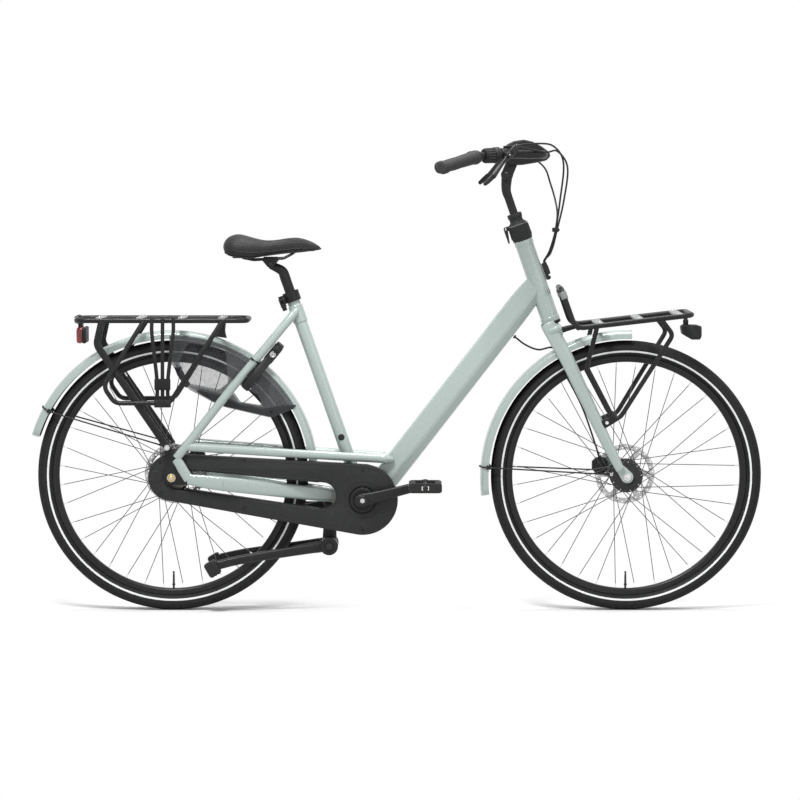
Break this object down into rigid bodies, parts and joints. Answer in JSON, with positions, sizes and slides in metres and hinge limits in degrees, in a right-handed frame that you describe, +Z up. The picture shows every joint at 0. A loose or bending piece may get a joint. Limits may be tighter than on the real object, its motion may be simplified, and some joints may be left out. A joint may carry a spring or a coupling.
{
  "type": "city bicycle",
  "caption": "Step-through city bicycle with chain case, coat guards, mudguards, front and rear carriers, ring lock, kickstand, stem with height and tilt, and lights.",
  "frame": {"origin": "on the ground, under the middle of the bicycle's box", "axes": "+X forward along the bicycle, +Z up, -Y towards the side of the chain"},
  "size_m": [1.932, 0.6432, 1.245],
  "materials": {
    "frame_paint": "gloss",
    "black_paint": "satin",
    "black_plastic": "matte",
    "smoke_plastic": "gloss, smoky",
    "red_lens": "gloss",
    "tyre_rubber": "matte",
    "grip_rubber": "matte",
    "strap_rubber": "matte",
    "saddle_cover": "matte",
    "steel": "brushed",
    "dark_steel": "dark, satin"
  },
  "bodies": {
    "frame": {"main_frame": "frame_paint", "headset_ring": "dark_steel", "cable_entry": "black_plastic", "chaincase_outer": "black_plastic", "chaincase_inner": "black_plastic", "chain": "dark_steel", "rear_mudguard": "frame_paint", "rear_mudguard_stays": "dark_steel", "rear_carrier": "black_paint", "carrier_straps": "strap_rubber", "tail_light": "red_lens", "coat_guard_right": "smoke_plastic", "coat_guard_left": "smoke_plastic", "ring_lock": "black_plastic", "seat_clamp": "black_paint", "stand_bracket": "black_paint", "rear_caliper": "black_paint", "rear_axle": "steel"},
    "lock_bolt": {"ring_lock_bolt": "steel"},
    "seat_lever": {"seat_clamp_lever": "black_plastic"},
    "stand": {"kickstand": "black_paint"},
    "post": {"seatpost": "black_paint"},
    "saddle_unit": {"saddle_clamp": "black_paint", "saddle_rails": "dark_steel", "saddle": "saddle_cover"},
    "crankset": {"crank_spindle": "steel", "crank_right": "black_paint", "crank_left": "black_paint"},
    "right_pedal": {"pedal_right": "black_plastic"},
    "left_pedal": {"pedal_left": "black_plastic"},
    "sprocket": {"rear_sprocket": "dark_steel"},
    "rear_wheel": {"rear_hub": "black_paint", "rear_rim": "black_paint", "rear_tyre": "tyre_rubber", "rear_rotor": "steel"},
    "steering": {"fork": "frame_paint", "front_axle": "steel", "front_mudguard": "frame_paint", "front_mudguard_stays": "dark_steel", "front_carrier": "black_paint", "front_caliper": "black_paint", "stem_clamp": "black_plastic", "rear_cables": "black_plastic", "front_brake_hose": "black_plastic"},
    "front_lamp": {"headlight": "black_plastic"},
    "stem_catch": {"stem_lever": "black_plastic"},
    "front_wheel": {"front_hub": "black_paint", "front_rim": "black_paint", "front_tyre": "tyre_rubber", "front_rotor": "steel"},
    "stem_post": {"stem_quill": "black_paint"},
    "bars": {"stem_head": "black_paint", "handlebar": "black_paint", "grip_right": "grip_rubber", "grip_left": "grip_rubber", "brake_mount_right": "black_paint", "brake_mount_left": "black_paint"},
    "right_brake": {"brake_lever_right": "black_paint"},
    "left_brake": {"brake_lever_left": "black_paint"},
    "shifter": {"twist_shifter": "grip_rubber"}
  },
  "joints": [
    {"name": "steering", "type": "hinge", "parent": "frame", "child": "steering", "pos_m": [0.408, 0, 0.766], "axis": [-0.3267, 0, 0.9451], "range_deg": [-65, 65], "deforming": ["rear_cables", "front_brake_hose"]},
    {"name": "front_wheel_turn", "type": "hinge", "parent": "steering", "child": "front_wheel", "pos_m": [0.608, 0, 0.358], "axis": [0, 1, 0], "continuous": true},
    {"name": "rear_wheel_turn", "type": "hinge", "parent": "frame", "child": "rear_wheel", "pos_m": [-0.592, 0, 0.358], "axis": [0, 1, 0], "continuous": true},
    {"name": "crank_turn", "type": "hinge", "parent": "frame", "child": "crankset", "pos_m": [-0.0894, 0, 0.299], "axis": [0, 1, 0], "continuous": true},
    {"name": "sprocket_turn", "type": "hinge", "parent": "frame", "child": "sprocket", "pos_m": [-0.592, 0, 0.358], "axis": [0, 1, 0], "continuous": true},
    {"name": "right_pedal_turn", "type": "hinge", "parent": "crankset", "child": "right_pedal", "pos_m": [0.07519, -0.14, 0.34156], "axis": [0, 1, 0], "continuous": true},
    {"name": "left_pedal_turn", "type": "hinge", "parent": "crankset", "child": "left_pedal", "pos_m": [-0.25399, 0.14, 0.25644], "axis": [0, 1, 0], "continuous": true},
    {"name": "seat_height", "type": "slide", "parent": "frame", "child": "post", "axis": [-0.3312, 0, 0.9436], "range_m": [-0.05, 0.08]},
    {"name": "saddle_tilt", "type": "hinge", "parent": "post", "child": "saddle_unit", "pos_m": [-0.332, 0, 0.919], "axis": [0, 1, 0], "range_deg": [-10, 10]},
    {"name": "seat_clamp_lever_turn", "type": "hinge", "parent": "frame", "child": "seat_lever", "pos_m": [-0.30249, -0.0225, 0.823], "axis": [-0.9436, 0, -0.3312], "range_deg": [0, 110]},
    {"name": "stand_turn", "type": "hinge", "parent": "frame", "child": "stand", "pos_m": [-0.178, 0, 0.174], "axis": [0, 1, 0], "range_deg": [-90, 0]},
    {"name": "lock_bolt_turn", "type": "hinge", "parent": "frame", "child": "lock_bolt", "pos_m": [-0.3751, 0, 0.62112], "axis": [0.7716, 0, -0.6361], "range_deg": [0, 124]},
    {"name": "headlight_tilt", "type": "hinge", "parent": "steering", "child": "front_lamp", "pos_m": [0.764, 0, 0.767], "axis": [0, 1, 0], "range_deg": [-10, 15]},
    {"name": "stem_catch_turn", "type": "hinge", "parent": "steering", "child": "stem_catch", "pos_m": [0.2877, 0, 1.0084], "axis": [0, 1, 0], "range_deg": [0, 60]},
    {"name": "stem_height", "type": "slide", "parent": "steering", "child": "stem_post", "axis": [-0.3267, 0, 0.9451], "range_m": [0, 0.06], "deforming": ["rear_cables"]},
    {"name": "stem_tilt", "type": "hinge", "parent": "stem_post", "child": "bars", "pos_m": [0.29103, 0, 1.15298], "axis": [0, 1, 0], "range_deg": [-20, 10], "deforming": ["rear_cables"]},
    {"name": "right_brake_pull", "type": "hinge", "parent": "bars", "child": "right_brake", "pos_m": [0.28858, -0.18273, 1.2004], "axis": [-0.4395, 0.7413, -0.5073], "range_deg": [0, 20], "stiffness_Nm_per_rad": 0.8, "springref_deg": -11.46},
    {"name": "left_brake_pull", "type": "hinge", "parent": "bars", "child": "left_brake", "pos_m": [0.28858, 0.18273, 1.2004], "axis": [0.4395, 0.7413, 0.5073], "range_deg": [0, 20], "stiffness_Nm_per_rad": 0.8, "springref_deg": -11.46},
    {"name": "shifter_twist", "type": "hinge", "parent": "bars", "child": "shifter", "pos_m": [0.22485, -0.18753, 1.20165], "axis": [0.8443, 0.5337, 0.0485], "range_deg": [-50, 50]}
  ],
  "couplings": [
    {"joint": "sprocket_turn", "follows": "crank_turn", "ratio": 2.1111}
  ]
}
